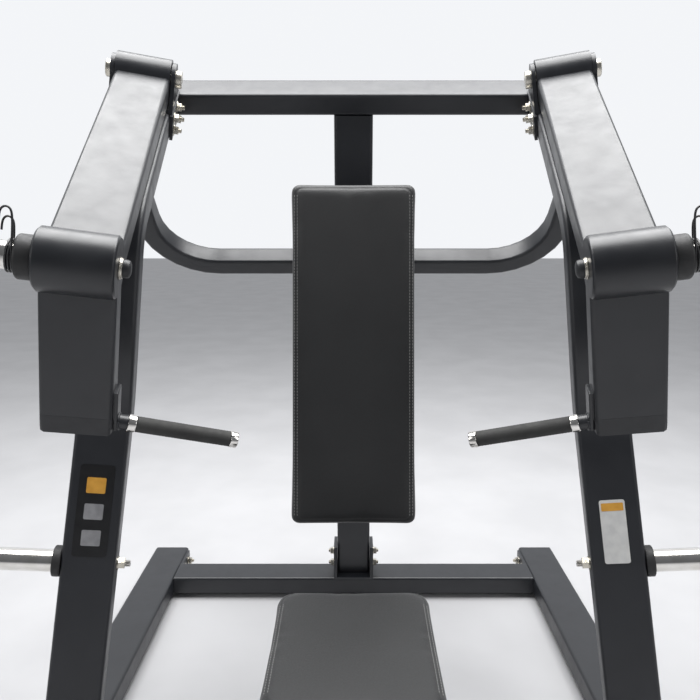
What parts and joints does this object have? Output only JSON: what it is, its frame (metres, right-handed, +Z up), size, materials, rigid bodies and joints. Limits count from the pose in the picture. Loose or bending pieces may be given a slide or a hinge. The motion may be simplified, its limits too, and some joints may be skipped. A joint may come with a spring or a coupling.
{
  "type": "chest press machine",
  "caption": "Plate-loaded incline chest press with two independent pivoting arms, plate horns, grips, tall back pad, adjustable seat and bolted base.",
  "frame": {"origin": "on the floor under the middle of the machine", "axes": "+Z up, +Y to the rear, +X to the right of someone facing the machine"},
  "size_m": [1.7812, 1.44, 1.6906],
  "materials": {
    "frame_paint": "satin powder coat, charcoal with a blue cast",
    "arm_paint": "satin powder coat, charcoal with a blue cast",
    "chrome": "polished chrome plate",
    "zinc_steel": "bright zinc plate",
    "bearing_steel": "ground bearing steel",
    "black_rubber": "matte moulded rubber",
    "grip_rubber": "ribbed soft grip, dark grey",
    "black_plastic": "fine textured moulding",
    "black_wire": "black dipped spring wire",
    "leather": "fine grained upholstery leather, charcoal",
    "board": "black stained plywood"
  },
  "bodies": {
    "frame": {"upright_left": "frame_paint", "pivot_bracket_left": "frame_paint", "pivot_axle_left": "zinc_steel", "rest_bumper_left": "black_rubber", "storage_horn_left": "chrome", "storage_bumper_left": "black_rubber", "storage_nut_left": "zinc_steel", "base_rail_left": "frame_paint", "foot_front_left": "black_rubber", "foot_rear_left": "black_rubber", "upright_right": "frame_paint", "pivot_bracket_right": "frame_paint", "pivot_axle_right": "zinc_steel", "rest_bumper_right": "black_rubber", "storage_horn_right": "chrome", "storage_bumper_right": "black_rubber", "storage_nut_right": "zinc_steel", "base_rail_right": "frame_paint", "foot_front_right": "black_rubber", "foot_rear_right": "black_rubber", "u_bar": "frame_paint", "upper_cross_beam": "frame_paint", "rear_post": "frame_paint", "rear_post_bracket": "frame_paint", "rear_cross_member": "frame_paint", "front_cross_member": "frame_paint", "seat_rail": "frame_paint", "seat_rail_foot": "black_rubber", "pad_spine": "frame_paint", "back_board": "board", "back_pad": "leather", "seat_post_sleeve": "frame_paint"},
    "press_arm_left": {"press_arm_left": "arm_paint", "arm_end_cap_left": "black_plastic", "plate_horn_left": "chrome", "horn_bumper_left": "black_rubber", "horn_cap_left": "black_plastic", "horn_nut_left": "zinc_steel", "handle_bar_left": "chrome", "handle_grip_left": "grip_rubber", "handle_cap_left": "chrome", "bearing_inner_left": "bearing_steel", "bearing_outer_left": "bearing_steel"},
    "spring_clip_left": {"spring_clip_left": "black_wire"},
    "press_arm_right": {"press_arm_right": "arm_paint", "arm_end_cap_right": "black_plastic", "plate_horn_right": "chrome", "horn_bumper_right": "black_rubber", "horn_cap_right": "black_plastic", "horn_nut_right": "zinc_steel", "handle_bar_right": "chrome", "handle_grip_right": "grip_rubber", "handle_cap_right": "chrome", "bearing_inner_right": "bearing_steel", "bearing_outer_right": "bearing_steel"},
    "spring_clip_right": {"spring_clip_right": "black_wire"},
    "seat": {"seat_post": "zinc_steel", "seat_board": "board", "seat_pad": "leather"},
    "pop_pin": {"pop_pin": "black_plastic"}
  },
  "joints": [
    {"name": "press_arm_left_lift", "type": "hinge", "parent": "frame", "child": "press_arm_left", "pos_m": [-0.53449, 0.22795, 1.63682], "axis": [-0.9749, -0.1754, 0.1374], "range_deg": [0, 45]},
    {"name": "spring_clip_left_slide", "type": "slide", "parent": "press_arm_left", "child": "spring_clip_left", "axis": [-0.9749, -0.1754, 0.1374], "range_m": [0, 0.2]},
    {"name": "press_arm_right_lift", "type": "hinge", "parent": "frame", "child": "press_arm_right", "pos_m": [0.53449, 0.22795, 1.63682], "axis": [-0.9749, 0.1754, -0.1374], "range_deg": [0, 45]},
    {"name": "spring_clip_right_slide", "type": "slide", "parent": "press_arm_right", "child": "spring_clip_right", "axis": [0.9749, -0.1754, 0.1374], "range_m": [0, 0.2]},
    {"name": "seat_height", "type": "slide", "parent": "frame", "child": "seat", "axis": [0, 0, 1], "range_m": [0, 0.12]},
    {"name": "pop_pin_pull", "type": "slide", "parent": "frame", "child": "pop_pin", "axis": [0, -1, 0], "range_m": [0, 0.012], "stiffness_N_per_m": 600}
  ]
}
